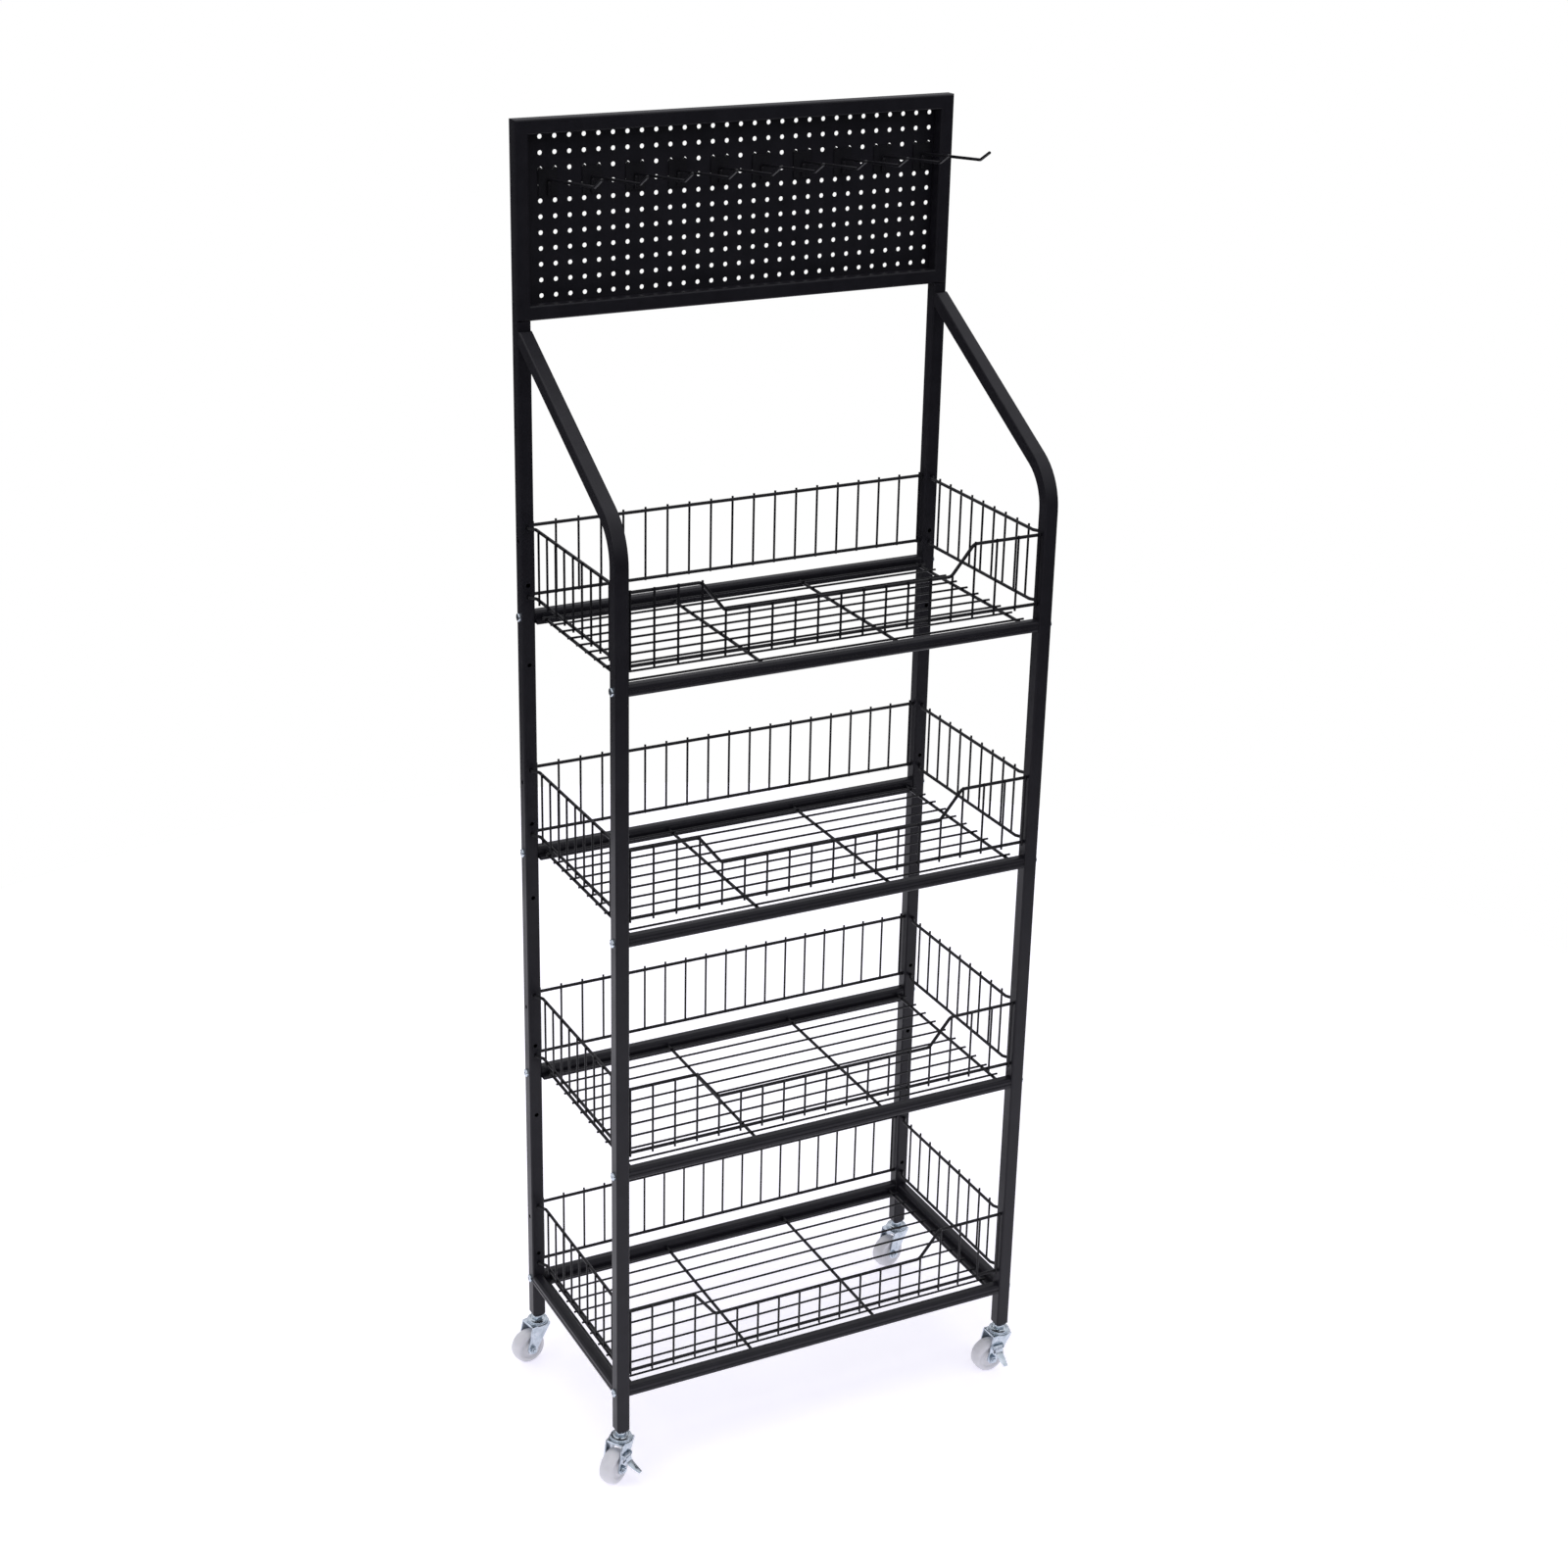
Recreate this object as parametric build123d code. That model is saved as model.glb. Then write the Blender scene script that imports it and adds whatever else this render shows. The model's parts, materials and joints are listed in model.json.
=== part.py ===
"""Pegboard display stand: a wheeled four-tier wire-basket rack under a perforated header.

Millimetres, +Z up. The rack is laid out with X across its width, Y from the front faces of
the front posts to the rear, and Z from the floor. Everything is then moved as one so that
the origin is the middle of the bottom of the whole stand's box.
"""
from build123d import *
import math
import os

# ---------------------------------------------------------------- driving dimensions
overall_width = 628.0          # over the outer faces of the posts
overall_depth = 325.0          # front face of the front posts to rear face of the rear posts
header_bottom = 1560.0         # where the header frame stands on the rear posts
header_height = 252.0

# square tube used for the posts and the header
tube = 19.0
tube_wall = 1.2
tube_corner = 2.5

# tiers
tier_count = 4
first_tier = 137.0             # height of the lowest bolt line
tier_pitch = 342.0

# stepped rail: a rounded tube with a low ledge on its inner side
rail_height = 16.0
rail_thick = 16.0
rail_corner = 4.5
rail_wall = 1.2
rail_ledge_width = 8.0
rail_ledge_top = -3.2          # measured from the bolt line
rail_groove = 1.3
rail_plug_length = 14.0
rail_corner_gap = 0.3          # between the ledges where two rails meet

# baskets
thick_wire = 4.5
thin_wire = 3.0
weld_bite = 0.5                # how far two crossed wires sink into each other
basket_low = 30.0              # lower wire above the bolt line
basket_high = 125.0            # upper wire above the bolt line
dip_high = 85.0                # upper wire in the dip of the front panel
upright_count = 19
upright_end_gap = 3.4          # outermost uprights to the inner faces of the posts
dip_outer = 6                  # upright, counted from the middle, where the dip starts
dip_inner = 5                  # upright where it is at its lowest
wire_bend = 9.0
side_upright_count = 9
side_wire_inset = 7.0          # side wires run this far inside the middle of the posts
side_jog_length = 11.0
side_jog_bend = 5.0
wire_nub = 1.5                 # thin wire past the thick wire that it is welded to
wire_insert = 6.0              # wire end inside a post
wire_hole_gap = 0.5            # round a wire end in its hole, per side

# shelf floors
floor_wire_count = 10
floor_wire_edge = 32.9         # outermost long wires from the front and rear of the stand
floor_wire_end_gap = 4.0
floor_cross_end = 11.0         # outer cross wires from the inner faces of the posts
floor_cross_middle = 98.0      # inner cross wires from the middle
seat_gap = 0.1                 # floor wires above the ledge they rest on
floor_end_gap = 0.5

# spare holes in the rear posts, measured from each bolt line
spare_hole = 6.0
spare_front_holes = (45.5, -66.0)
spare_side_holes = (105.0,)

# bent part of the front posts
bend_height = 1360.0           # where the two centre lines cross
bend_slope = 31.3              # degrees of the sloping part above level
bend_radius = 72.0
slope_end_drop = 12.0          # level cut of the sloping part, below the header

# header
plug_length = 60.0
plug_gap = 0.3
sheet_thick = 1.0
sheet_lap = 12.0               # sheet over the frame tubes, on their rear faces
peg_hole = 6.0
peg_pitch = 20.0
peg_left_margin = 22.5         # first column from the inner face of the left tube
peg_right_least = 5.0          # the last column keeps at least this far off the right tube
peg_first_row = 27.3           # above the bottom of the header
peg_top_least = 4.0            # the last row may reach this close to the top tube

# hooks
hook_column_step = 3
hook_rows_down = 3             # the hooks hang in this row below the top one
hook_plate_width = 26.0
hook_plate_drop = 34.0
hook_plate_thick = 1.5
hook_plate_gap = 0.3
hook_wire = 4.0
hook_root_drop = 13.5          # arm below the prongs
hook_reach = 147.0
hook_rise = 5.2                # degrees
hook_tip_reach = 21.0
hook_tip_rise = 12.0
hook_bend = 5.0
hook_weld_bite = 0.4
prong = 3.5
prong_back = 4.5               # prong behind the middle of the sheet
prong_lift = 10.0
prong_bend = 2.6

# rail bolts
bolt_shank = 6.0
bolt_gap = 0.3
bolt_head = 11.5
bolt_head_height = 3.2
bolt_head_round = 1.6
bolt_reach = 10.0              # shank inside the rail
thread_gap = 0.05
recess_long = 5.6
recess_wide = 1.3
recess_deep = 2.0

# casters
wheel_diameter = 50.0
wheel_width = 21.0
wheel_top_gap = 8.5            # wheel to the under side of the fork crown
wheel_shoulder = 4.0           # the crowned tread is this much lower at its edges
hub_diameter = 18.0
caster_trail = 18.0
axle_diameter = 6.0
axle_gap = 0.1
leg_gap = 0.3
hub_stand = 1.2                # hub past the side of the wheel
leg_thick = 2.0
leg_boss = 8.0
crown_radius = 17.0
crown_thick = 3.0
crown_front = 13.0
swivel_gap = 0.5
cap_radius = 15.5
cap_height = 5.0
race_radius = 11.0
ball_diameter = 3.0
ball_count = 12
ball_gap = 0.1
lock_nut_across = 13.0
lock_nut_height = 5.0
stem_diameter = 8.0
stem_reach = 24.0              # stem inside the socket
stem_gap = 0.5                 # round the stem in the fork
socket_gap = 0.2
rivet_radius = 6.5
rivet_thick = 2.4
rivet_gap = 0.3
nose_height = 5.0
nose_side = 13.0
socket_length = 30.0
axle_hex = 10.0
axle_hex_height = 4.5
axle_end = 1.5

# brake levers on the front casters, in the caster's own frame
brake_rise = 20.0              # hinge pin above the axle
brake_forward = 7.0            # hinge pin ahead of the axle
brake_stand = 2.6              # hinge pin outside the fork leg
brake_pin = 3.0
brake_pin_gap = 0.1
brake_knuckle = 2.4
brake_width = 14.0
brake_side_gap = 0.5
brake_lug = 1.5
brake_plate = 1.6
brake_flap_length = 27.0
brake_flap_slope = 30.0
brake_tongue_length = 11.0
brake_tongue_width = 8.0
brake_tongue_lean = 25.0
brake_window_gap = 1.5
brake_tip_width = 12.0

# swivel angle of each caster: how far its wheel trails round from the front to the left
casters = {
    "front_left": (-1, 0, 57.0, True),
    "front_right": (1, 0, 88.0, True),
    "rear_left": (-1, 1, 78.0, False),
    "rear_right": (1, 1, 75.0, False),
}

# ---------------------------------------------------------------- sizes that follow
wheel_radius = wheel_diameter / 2
crown_under = wheel_diameter + wheel_top_gap
crown_top = crown_under + crown_thick
caster_height = crown_top + swivel_gap + cap_height + lock_nut_height
brake_height = wheel_radius + brake_rise
half_width = overall_width / 2
post_x = half_width - tube / 2
inner_x = half_width - tube
front_y = tube / 2
rear_y = overall_depth - tube / 2
mid_y = overall_depth / 2
rear_face_y = overall_depth - tube
header_top = header_bottom + header_height
tube_bottom = caster_height + nose_height
tiers = [first_tier + tier_pitch * n for n in range(tier_count)]
cross_z = rail_ledge_top + seat_gap + thick_wire / 2
weld_step = (thick_wire + thin_wire) / 2 - weld_bite
long_z = cross_z + weld_step
upright_pitch = (inner_x - upright_end_gap) / ((upright_count - 1) / 2)
floor_wire_pitch = (overall_depth - 2 * floor_wire_edge) / (floor_wire_count - 1)
floor_cross_far = inner_x - floor_cross_end
floor_cross_places = (-floor_cross_far, -floor_cross_middle, floor_cross_middle, floor_cross_far)
peg_first_column = peg_left_margin - inner_x
peg_columns = int((2 * inner_x - peg_left_margin - peg_right_least) / peg_pitch) + 1
peg_rows = int((header_height - peg_first_row - tube - peg_top_least) / peg_pitch) + 1
hook_row = peg_rows - hook_rows_down
hook_count = (peg_columns - 2) // hook_column_step + 1
prong_z = header_bottom + peg_first_row + peg_pitch * hook_row
sheet_mid_y = overall_depth + sheet_thick / 2
leg_inner = wheel_width / 2 + hub_stand + leg_gap
leg_outer = leg_inner + leg_thick
brake_x = leg_outer + brake_stand
brake_y = brake_forward - caster_trail

parts = {}


# ---------------------------------------------------------------- small helpers
def rod(start, end, diameter):
    """Straight round wire or pin between two points."""
    run = Vector(end) - Vector(start)
    upright = Cylinder(diameter / 2, run.length, align=(Align.CENTER, Align.CENTER, Align.MIN))
    return Plane(origin=start, z_dir=run) * upright


def bent_rod(points, bend, diameter):
    """Round wire along straight runs with rounded bends."""
    path = FilletPolyline(*points, radius=bend)
    return sweep(Plane(origin=path @ 0, z_dir=path % 0) * Circle(diameter / 2), path=path)


def joined(pieces):
    """One solid from pieces that touch."""
    return Part() + list(pieces)


def group(solids):
    """Separate solids kept in one node."""
    return Compound(children=[solid for piece in solids for solid in piece.solids()])


def tube_section(side, wall, corner):
    """Hollow rounded square section."""
    bore = side - 2 * wall
    return RectangleRounded(side, side, corner) - RectangleRounded(bore, bore, corner - wall)


def hexagon(across):
    return RegularPolygon(across / 2, 6, major_radius=False)


# ---------------------------------------------------------------- posts
def post_holes(x_side, y_centre, inward_y):
    """Bolt holes and basket wire holes of one post, as solids to cut away."""
    x_centre = x_side * post_x
    cut = []
    wire_hole = thick_wire + 2 * wire_hole_gap
    for tier in tiers:
        bolt_from = (x_centre - tube, y_centre, tier)
        cut.append(rod(bolt_from, (x_centre + tube, y_centre, tier), bolt_shank + 2 * bolt_gap))
        for height in (tier + basket_low, tier + basket_high):
            middle = (x_centre, y_centre, height)
            cut.append(rod(middle, (x_centre - x_side * tube, y_centre, height), wire_hole))
            cut.append(rod(middle, (x_centre, y_centre + inward_y * tube, height), wire_hole))
    return cut


def front_post(side):
    """Upright tube that bends back above the top basket and slopes up to the rear post."""
    turn = math.radians(90 - bend_slope)
    tangent = bend_radius * math.tan(turn / 2)
    bend_start = bend_height - tangent
    section = tube_section(tube, tube_wall, tube_corner)
    foot = Plane.XY.offset(tube_bottom) * Pos(side * post_x, front_y) * section
    upright = extrude(foot, bend_start - tube_bottom)
    bend_foot = Plane.XY.offset(bend_start) * Pos(side * post_x, front_y) * section
    hub = Axis((side * post_x, front_y + bend_radius, bend_start), (-1, 0, 0))
    bend = revolve(bend_foot, hub, math.degrees(turn))
    rise = (0, math.cos(math.radians(bend_slope)), math.sin(math.radians(bend_slope)))
    end_y = front_y + bend_radius * (1 - math.cos(turn))
    end_z = bend_start + bend_radius * math.sin(turn)
    slope_plane = Plane(origin=(side * post_x, end_y, end_z), x_dir=(1, 0, 0), z_dir=rise)
    slope = extrude(slope_plane * section, overall_depth / math.cos(math.radians(bend_slope)))
    behind = Pos(side * post_x, rear_face_y, end_z) * Box(
        2 * tube, 2 * overall_depth, 4 * overall_depth, align=(Align.CENTER, Align.MIN, Align.CENTER))
    above = Pos(side * post_x, rear_face_y, header_bottom - slope_end_drop) * Box(
        2 * tube, 2 * overall_depth, overall_depth, align=(Align.CENTER, Align.CENTER, Align.MIN))
    post = joined([upright, bend, slope - behind - above])
    return post - post_holes(side, front_y, 1)


def rear_post(side):
    """Straight upright tube that carries the header."""
    foot = Plane.XY.offset(tube_bottom) * Pos(side * post_x, rear_y)
    post = extrude(foot * tube_section(tube, tube_wall, tube_corner), header_bottom - tube_bottom)
    cut = post_holes(side, rear_y, -1)
    for tier in tiers:
        for step in spare_front_holes:
            middle = (side * post_x, rear_y, tier + step)
            cut.append(rod(middle, (side * post_x, rear_y - tube, tier + step), spare_hole))
        for step in spare_side_holes:
            middle = (side * post_x, rear_y, tier + step)
            cut.append(rod(middle, (side * (post_x + tube), rear_y, tier + step), spare_hole))
    return post - cut


# ---------------------------------------------------------------- header
def header_frame():
    """Four mitred tubes with two square plugs that slip into the rear posts."""
    section = tube_section(tube, tube_wall, tube_corner)
    low = header_bottom + tube / 2
    high = header_top - tube / 2
    tubes = []
    for height, turn in ((low, 1), (high, -1)):
        bar = extrude(Plane.YZ * section, half_width, both=True)
        mitre = Polygon((-half_width, -tube / 2), (half_width, -tube / 2),
                        (inner_x, tube / 2), (-inner_x, tube / 2), align=None)
        wedge = extrude(Plane.XZ * mitre, tube, both=True)
        bar = bar & wedge
        if turn < 0:
            bar = bar.mirror(Plane.XY)
        tubes.append(Pos(0, rear_y, height) * bar)
    half_height = header_height / 2
    for side in (-1, 1):
        bar = extrude(Plane.XY * section, half_height, both=True)
        mitre = Polygon((-tube / 2, -half_height), (-tube / 2, half_height),
                        (tube / 2, half_height - tube), (tube / 2, tube - half_height), align=None)
        wedge = extrude(Plane.XZ * mitre, tube, both=True)
        bar = bar & wedge
        if side > 0:
            bar = bar.mirror(Plane.YZ)
        tubes.append(Pos(side * post_x, rear_y, (low + high) / 2) * bar)
    plug_side = tube - 2 * tube_wall - 2 * plug_gap
    for side in (-1, 1):
        plug = extrude(RectangleRounded(plug_side, plug_side, tube_corner - tube_wall), -plug_length)
        tubes.append(Pos(side * post_x, rear_y, header_bottom) * plug)
    return joined(tubes)


def peg_place(column, row):
    """Centre of one peg hole in X and Z."""
    return (peg_first_column + peg_pitch * column, header_bottom + peg_first_row + peg_pitch * row)


def pegboard_sheet():
    """Perforated sheet lapped on the rear faces of the header tubes."""
    wide = 2 * (inner_x + sheet_lap)
    high = header_height - 2 * (tube - sheet_lap)
    face = Pos(0, header_bottom + header_height / 2) * Rectangle(wide, high)
    places = [peg_place(column, row) for column in range(peg_columns) for row in range(peg_rows)]
    face = face - [Pos(x, z) * Circle(peg_hole / 2) for x, z in places]
    # Plane.XZ faces -Y, so a negative amount goes towards +Y
    return Pos(0, overall_depth, 0) * extrude(Plane.XZ * face, -sheet_thick)


# ---------------------------------------------------------------- rails and shelf floors
def rail_section():
    """Section with X inwards and Y up, on the bolt line."""
    ledge_end = rail_thick / 2 + rail_ledge_width
    bottom = -rail_height / 2
    ledge_height = rail_ledge_top - bottom
    ledge = Pos(0, bottom) * Rectangle(ledge_end, ledge_height, align=(Align.MIN, Align.MIN))
    outer = RectangleRounded(rail_thick, rail_height, rail_corner) + ledge
    bore = RectangleRounded(rail_thick - 2 * rail_wall, rail_height - 2 * rail_wall,
                            rail_corner - rail_wall)
    ledge_bore = Pos(0, bottom + rail_wall) * Rectangle(
        ledge_end - rail_wall, ledge_height - 2 * rail_wall, align=(Align.MIN, Align.MIN))
    groove = Pos(-rail_thick / 2 - rail_groove / 4, 0) * Circle(rail_groove)
    return outer - bore - ledge_bore - groove


def stepped_rail(length, tapped):
    """Rail along X about its middle, with its ledge towards +Y."""
    lay = Plane(origin=(-length / 2, 0, 0), x_dir=(0, 1, 0), z_dir=(1, 0, 0))
    rail = extrude(lay * rail_section(), length)
    if tapped:
        side = rail_thick - 2 * rail_wall
        plug = extrude(RectangleRounded(side, rail_height - 2 * rail_wall, rail_corner - rail_wall),
                       rail_plug_length)
        plug = plug - Cylinder(bolt_shank / 2 + thread_gap, 4 * rail_plug_length)
        near = lay * plug
        rail = joined([rail, near, near.mirror(Plane.YZ)])
    return rail


def side_rail():
    """Bottom side rail, its ledge notched at both ends for the ledges of the cross rails."""
    length = rear_face_y - tube
    notch = front_y + rail_thick / 2 + rail_ledge_width + rail_corner_gap - tube
    rail = stepped_rail(length, False)
    for end in (-1, 1):
        rail = rail - Pos(end * (length - notch) / 2, rail_thick / 2, 0) * Box(
            notch, rail_ledge_width, rail_height, align=(Align.CENTER, Align.MIN, Align.CENTER))
    return rail


def shelf_floor():
    """Wire mat about the bolt line: long wires welded on top of cross wires."""
    long_end = inner_x - floor_wire_end_gap
    cross_half = mid_y - front_y - rail_thick / 2 - floor_end_gap
    wires = []
    for n in range(floor_wire_count):
        y = mid_y + floor_wire_pitch * (n - (floor_wire_count - 1) / 2)
        wires.append(rod((-long_end, y, long_z), (long_end, y, long_z), thin_wire))
    for x in floor_cross_places:
        wires.append(rod((x, mid_y - cross_half, cross_z), (x, mid_y + cross_half, cross_z), thick_wire))
    return joined(wires)


# ---------------------------------------------------------------- baskets
upright_places = [upright_pitch * (n - (upright_count - 1) / 2) for n in range(upright_count)]


def panel_top(x):
    """Height of the dipped front wire above the bolt line."""
    outer = dip_outer * upright_pitch
    inner = dip_inner * upright_pitch
    share = (min(max(abs(x), inner), outer) - inner) / (outer - inner)
    return dip_high + share * (basket_high - dip_high)


def basket_panel(y, outward, dipped):
    """Front or back panel of one basket, about the bolt line."""
    end = inner_x + wire_insert
    wires = [rod((-end, y, basket_low), (end, y, basket_low), thick_wire)]
    if dipped:
        outer = dip_outer * upright_pitch
        inner = dip_inner * upright_pitch
        route = [(-end, y, basket_high), (-outer, y, basket_high), (-inner, y, dip_high),
                 (inner, y, dip_high), (outer, y, basket_high), (end, y, basket_high)]
        wires.append(bent_rod(route, wire_bend, thick_wire))
    else:
        wires.append(rod((-end, y, basket_high), (end, y, basket_high), thick_wire))
    upright_y = y + outward * weld_step
    past = thick_wire / 2 + wire_nub
    for x in upright_places:
        top = panel_top(x) if dipped else basket_high
        wires.append(rod((x, upright_y, basket_low - past), (x, upright_y, top + past), thin_wire))
    return joined(wires)


def side_panel(side):
    """Side panel of one basket, its thick wires jogged out to the middle of the posts."""
    x = side * (post_x - side_wire_inset)
    wires = []
    for height in (basket_low, basket_high):
        route = [(side * post_x, tube - wire_insert, height), (side * post_x, tube + 2, height),
                 (x, tube + 2 + side_jog_length, height),
                 (x, rear_face_y - 2 - side_jog_length, height),
                 (side * post_x, rear_face_y - 2, height),
                 (side * post_x, rear_face_y + wire_insert, height)]
        wires.append(bent_rod(route, side_jog_bend, thick_wire))
    pitch = (rear_face_y - tube) / (side_upright_count + 1)
    past = thick_wire / 2 + wire_nub
    for n in range(side_upright_count):
        y = tube + pitch * (n + 1)
        upright_x = x + side * weld_step
        wires.append(rod((upright_x, y, basket_low - past), (upright_x, y, basket_high + past), thin_wire))
    return joined(wires)


# ---------------------------------------------------------------- fasteners and hooks
def rail_bolt():
    """Pan-head bolt with a cross recess, its head on +X and its seat at the origin."""
    head = Cylinder(bolt_head / 2, bolt_head_height, align=(Align.CENTER, Align.CENTER, Align.MIN))
    head = fillet(head.edges().sort_by(Axis.Z)[-1], bolt_head_round)
    for turn in (0, 90):
        slot = Pos(0, 0, bolt_head_height) * Rot(0, 0, turn) * Box(recess_long, recess_wide, 2 * recess_deep)
        head = head - slot
    shank = Cylinder(bolt_shank / 2, tube + bolt_reach, align=(Align.CENTER, Align.CENTER, Align.MAX))
    return Plane.YZ * (head + shank)


def display_hook(column):
    """Plate with a welded wire arm and two prongs that turn up behind the sheet."""
    middle_x = peg_place(column, hook_row)[0] + peg_pitch / 2
    plate_rear = overall_depth - hook_plate_gap
    plate_top = prong_z - hook_plate_gap
    plate = Pos(middle_x, plate_rear, plate_top) * Box(
        hook_plate_width, hook_plate_thick, hook_plate_drop, align=(Align.CENTER, Align.MAX, Align.MAX))
    wire_y = plate_rear - hook_plate_thick - hook_wire / 2 + hook_weld_bite
    root_z = prong_z - hook_root_drop
    arm_z = root_z + hook_reach * math.tan(math.radians(hook_rise))
    tip = (middle_x, wire_y - hook_reach - hook_tip_reach, arm_z + hook_tip_rise)
    route = [(middle_x, wire_y, plate_top - hook_plate_drop + 1), (middle_x, wire_y, root_z),
             (middle_x, wire_y - hook_reach, arm_z), tip]
    pieces = [plate, bent_rod(route, hook_bend, hook_wire), Pos(*tip) * Sphere(hook_wire / 2)]
    for side in (-1, 1):
        x = middle_x + side * peg_pitch / 2
        back = sheet_mid_y + prong_back
        hop = [(x, plate_rear - hook_plate_thick, prong_z), (x, back, prong_z), (x, back, prong_z + prong_lift)]
        pieces.append(bent_rod(hop, prong_bend, prong))
    return joined(pieces)


# ---------------------------------------------------------------- casters
# Each caster is modelled with its stem on the Z axis, its wheel trailing towards -Y, and
# its axle along X with the brake on +X.
def caster_socket():
    """Threaded insert in the bottom of a post, with the tapered nose that shows below it."""
    nose = loft([Plane.XY.offset(caster_height) * RectangleRounded(nose_side, nose_side, tube_corner),
                 Plane.XY.offset(tube_bottom) * RectangleRounded(tube, tube, tube_corner)])
    side = tube - 2 * tube_wall - 2 * socket_gap
    body = extrude(Plane.XY.offset(tube_bottom) * RectangleRounded(side, side, tube_corner - tube_wall),
                   socket_length)
    bore = Pos(0, 0, caster_height) * Cylinder(stem_diameter / 2 + thread_gap, 4 * socket_length)
    return nose + body - bore


def race_groove():
    return Pos(0, 0, crown_top + swivel_gap / 2) * Torus(race_radius, ball_diameter / 2 + ball_gap)


def caster_stem():
    """Stem with the fixed upper race, riveted under the fork."""
    head_top = crown_under - rivet_gap
    stem_bottom = head_top - rivet_thick
    stem_top = caster_height + stem_reach
    stem = rod((0, 0, stem_bottom), (0, 0, stem_top), stem_diameter)
    head = Pos(0, 0, stem_bottom) * Cylinder(
        rivet_radius, rivet_thick, align=(Align.CENTER, Align.CENTER, Align.MIN))
    cap = Pos(0, 0, crown_top + swivel_gap) * Cylinder(
        cap_radius, cap_height, align=(Align.CENTER, Align.CENTER, Align.MIN))
    cap = chamfer(cap.edges().sort_by(Axis.Z)[-1], cap_height * 0.5, cap_height * 0.7)
    return stem + head + (cap - race_groove())


def lock_nut():
    base = Plane.XY.offset(caster_height - lock_nut_height)
    nut = extrude(base * hexagon(lock_nut_across), lock_nut_height)
    return nut - Cylinder(stem_diameter / 2 + thread_gap, 4 * caster_height)


def swivel_balls():
    ring = []
    for n in range(ball_count):
        turn = Rot(0, 0, 360 * n / ball_count)
        ring.append(turn * Pos(race_radius, 0, crown_top + swivel_gap / 2) * Sphere(ball_diameter / 2))
    return ring


def caster_fork(braked):
    """Pressed fork: a round crown with the lower race and two legs down to the axle."""
    crown = Pos(0, 0, crown_top) * Cylinder(
        crown_radius, crown_thick, align=(Align.CENTER, Align.CENTER, Align.MAX))
    crown = fillet(crown.edges().filter_by(GeomType.CIRCLE).sort_by(Axis.Z)[-1], crown_thick * 0.4)
    bridge_back = crown_radius
    bridge = Pos(0, (crown_front - bridge_back) / 2, crown_top) * Box(
        2 * leg_outer, crown_front + bridge_back, crown_thick, align=(Align.CENTER, Align.CENTER, Align.MAX))
    top = Pos((crown_front - bridge_back) / 2, crown_top) * Rectangle(
        crown_front + bridge_back, crown_thick, align=(Align.CENTER, Align.MAX))
    boss = Pos(-caster_trail, wheel_radius) * Circle(leg_boss)
    outline = make_hull((top.edges() + boss.edges()))
    pieces = [crown, bridge]
    for side in (-1, 1):
        start = Plane.YZ.offset(leg_inner if side > 0 else -leg_outer)
        leg = extrude(start * outline, leg_thick)
        pieces.append(leg)
    if braked:
        for side in (-1, 1):
            lug_y = brake_y + side * (brake_width / 2 + brake_side_gap + brake_lug / 2)
            ear = Pos(brake_x, brake_height) * Circle(brake_knuckle + 1)
            ear = ear + Pos(leg_outer, brake_height) * Rectangle(
                brake_stand, 2 * brake_knuckle + 2, align=(Align.MIN, Align.CENTER))
            lug = Pos(0, lug_y, 0) * extrude(Plane.XZ * ear, brake_lug / 2, both=True)
            pieces.append(lug)
    fork = joined(pieces)
    reach = 2 * leg_outer + brake_stand
    fork = fork - Cylinder(stem_diameter / 2 + stem_gap, 4 * caster_height) - race_groove()
    fork = fork - rod((-reach, -caster_trail, wheel_radius), (reach, -caster_trail, wheel_radius),
                      axle_diameter + 2 * axle_gap)
    if braked:
        open_low = brake_height - brake_tongue_length - brake_window_gap
        open_width = brake_tongue_width + 2 * brake_window_gap
        fork = fork - Pos(leg_inner + leg_thick / 2, brake_y, open_low) * Box(
            leg_thick, open_width, brake_height + 1 - open_low, align=(Align.CENTER, Align.CENTER, Align.MIN))
        fork = fork - rod((brake_x, brake_y - brake_width, brake_height),
                          (brake_x, brake_y + brake_width, brake_height), brake_pin)
    return fork


def caster_wheel():
    """Solid nylon wheel with a crowned tread and a hub that stands proud of its sides."""
    half = wheel_width / 2
    hub_half = half + hub_stand
    bore = axle_diameter / 2 + axle_gap
    hub = hub_diameter / 2
    edge = wheel_radius - wheel_shoulder
    outline = [Line((-hub_half, bore), (-hub_half, hub)), Line((-hub_half, hub), (-half, hub)),
               Line((-half, hub), (-half, edge)),
               ThreePointArc((-half, edge), (0, wheel_radius), (half, edge)),
               Line((half, edge), (half, hub)), Line((half, hub), (hub_half, hub)),
               Line((hub_half, hub), (hub_half, bore)), Line((hub_half, bore), (-hub_half, bore))]
    profile = make_face(outline)
    return Pos(0, -caster_trail, wheel_radius) * revolve(Plane.XY * profile, Axis.X)


def axle_set(braked):
    """Axle bolt and its nut, and on a braked caster the hinge pin of the lever."""
    end = leg_outer + axle_hex_height + axle_end
    shank = Plane.YZ.offset(-leg_outer) * Cylinder(
        axle_diameter / 2, leg_outer + end, align=(Align.CENTER, Align.CENTER, Align.MIN))
    head = extrude(Plane.YZ.offset(-leg_outer) * hexagon(axle_hex), -axle_hex_height)
    nut = extrude(Plane.YZ.offset(leg_outer) * hexagon(axle_hex), axle_hex_height)
    nut = nut - rod((0, 0, 0), (2 * end, 0, 0), axle_diameter + 2 * thread_gap)
    solids = [Pos(0, -caster_trail, wheel_radius) * (shank + head),
              Pos(0, -caster_trail, wheel_radius) * nut]
    if braked:
        half = brake_width / 2 + brake_side_gap + brake_lug
        solids.append(rod((brake_x, brake_y - half, brake_height),
                          (brake_x, brake_y + half, brake_height), brake_pin))
    return solids


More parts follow.
